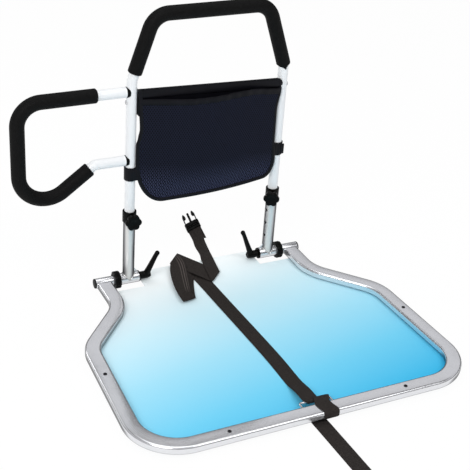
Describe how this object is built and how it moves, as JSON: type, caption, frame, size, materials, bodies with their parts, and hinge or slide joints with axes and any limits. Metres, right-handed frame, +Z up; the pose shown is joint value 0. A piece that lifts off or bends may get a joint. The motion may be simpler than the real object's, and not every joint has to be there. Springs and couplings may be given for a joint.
{
  "type": "bed rail",
  "caption": "Under-mattress bed rail: flat tube base with a board and strap, folding uprights of adjustable height, padded grab hoop, padded side handle and mesh pocket.",
  "frame": {"origin": "on the floor under the pads, in the middle of the rail's outline seen from above, the free strap and its buckle left out", "axes": "+X across the rail to its right, away from the side handle; -Y along the base toward the front bar that goes under the mattress; +Z up"},
  "size_m": [0.9168, 1.3153, 0.7355],
  "materials": {
    "chrome": "bright chrome plate",
    "white_coat": "smooth white powder coat",
    "black_plastic": "satin black moulded plastic",
    "black_steel": "blackened steel",
    "foam": "matt black closed-cell foam",
    "webbing": "woven webbing",
    "pocket_cloth": "navy mesh cloth",
    "board": "smooth sheet, pale at the rear and sky blue at the front",
    "pad_rubber": "matt black rubber"
  },
  "bodies": {
    "base": {"base_tube": "chrome", "base_board": "board", "left_arm_pad": "pad_rubber", "right_arm_pad": "pad_rubber", "front_left_pad": "pad_rubber", "front_right_pad": "pad_rubber", "left_arm_screw": "black_steel", "right_arm_screw": "black_steel", "front_left_screw": "black_steel", "front_right_screw": "black_steel", "strap_loop": "chrome", "left_cross_tube": "chrome", "right_cross_tube": "chrome", "left_end_cap": "black_plastic", "right_end_cap": "black_plastic", "left_base_disc": "black_plastic", "right_base_disc": "black_plastic", "left_hinge_bolt": "black_steel", "right_hinge_bolt": "black_steel", "strap_rear_run": "webbing", "strap_front_run": "webbing", "strap_roll": "webbing", "male_buckle": "black_plastic", "female_buckle": "black_plastic"},
    "uprights": {"left_post_disc": "black_plastic", "right_post_disc": "black_plastic", "left_foot_tube": "chrome", "right_foot_tube": "chrome", "left_foot_plug": "black_plastic", "right_foot_plug": "black_plastic", "left_lower_post": "chrome", "right_lower_post": "chrome", "left_gusset": "chrome", "right_gusset": "chrome", "left_collar": "black_plastic", "right_collar": "black_plastic"},
    "left_lever": {"left_clamp_lever": "black_plastic"},
    "right_lever": {"right_clamp_lever": "black_plastic"},
    "left_clamp_knob": {"left_knob": "black_plastic", "left_knob_screw": "black_steel"},
    "right_clamp_knob": {"right_knob": "black_plastic", "right_knob_screw": "black_steel"},
    "upper_hoop": {"upper_frame": "white_coat", "top_grip": "foam", "side_handle": "white_coat", "side_grip": "foam", "upper_saddle": "black_plastic", "lower_saddle": "black_plastic", "upper_handle_plug": "black_plastic", "lower_handle_plug": "black_plastic", "upper_handle_bolt": "chrome", "lower_handle_bolt": "chrome", "pocket": "pocket_cloth", "left_pocket_bolt": "chrome", "right_pocket_bolt": "chrome", "left_pocket_nut": "black_steel", "right_pocket_nut": "black_steel", "left_pocket_band": "pocket_cloth", "right_pocket_band": "pocket_cloth"}
  },
  "joints": [
    {"name": "fold", "type": "hinge", "parent": "base", "child": "uprights", "pos_m": [0.0358, 0.3165, 0.023], "axis": [-1, 0, 0], "range_deg": [0, 90]},
    {"name": "left_lever_turn", "type": "hinge", "parent": "uprights", "child": "left_lever", "pos_m": [-0.1142, 0.3165, 0.023], "axis": [1, 0, 0], "range_deg": [0, 75]},
    {"name": "right_lever_turn", "type": "hinge", "parent": "uprights", "child": "right_lever", "pos_m": [0.1858, 0.3165, 0.023], "axis": [1, 0, 0], "range_deg": [0, 75]},
    {"name": "left_knob_turn", "type": "hinge", "parent": "uprights", "child": "left_clamp_knob", "pos_m": [-0.1642, 0.3165, 0.199], "axis": [0, -1, 0], "continuous": true},
    {"name": "right_knob_turn", "type": "hinge", "parent": "uprights", "child": "right_clamp_knob", "pos_m": [0.2358, 0.3165, 0.199], "axis": [-0.5, -0.866, 0], "continuous": true},
    {"name": "height", "type": "slide", "parent": "uprights", "child": "upper_hoop", "axis": [0, 0, 1], "range_m": [-0.0375, 0]}
  ]
}
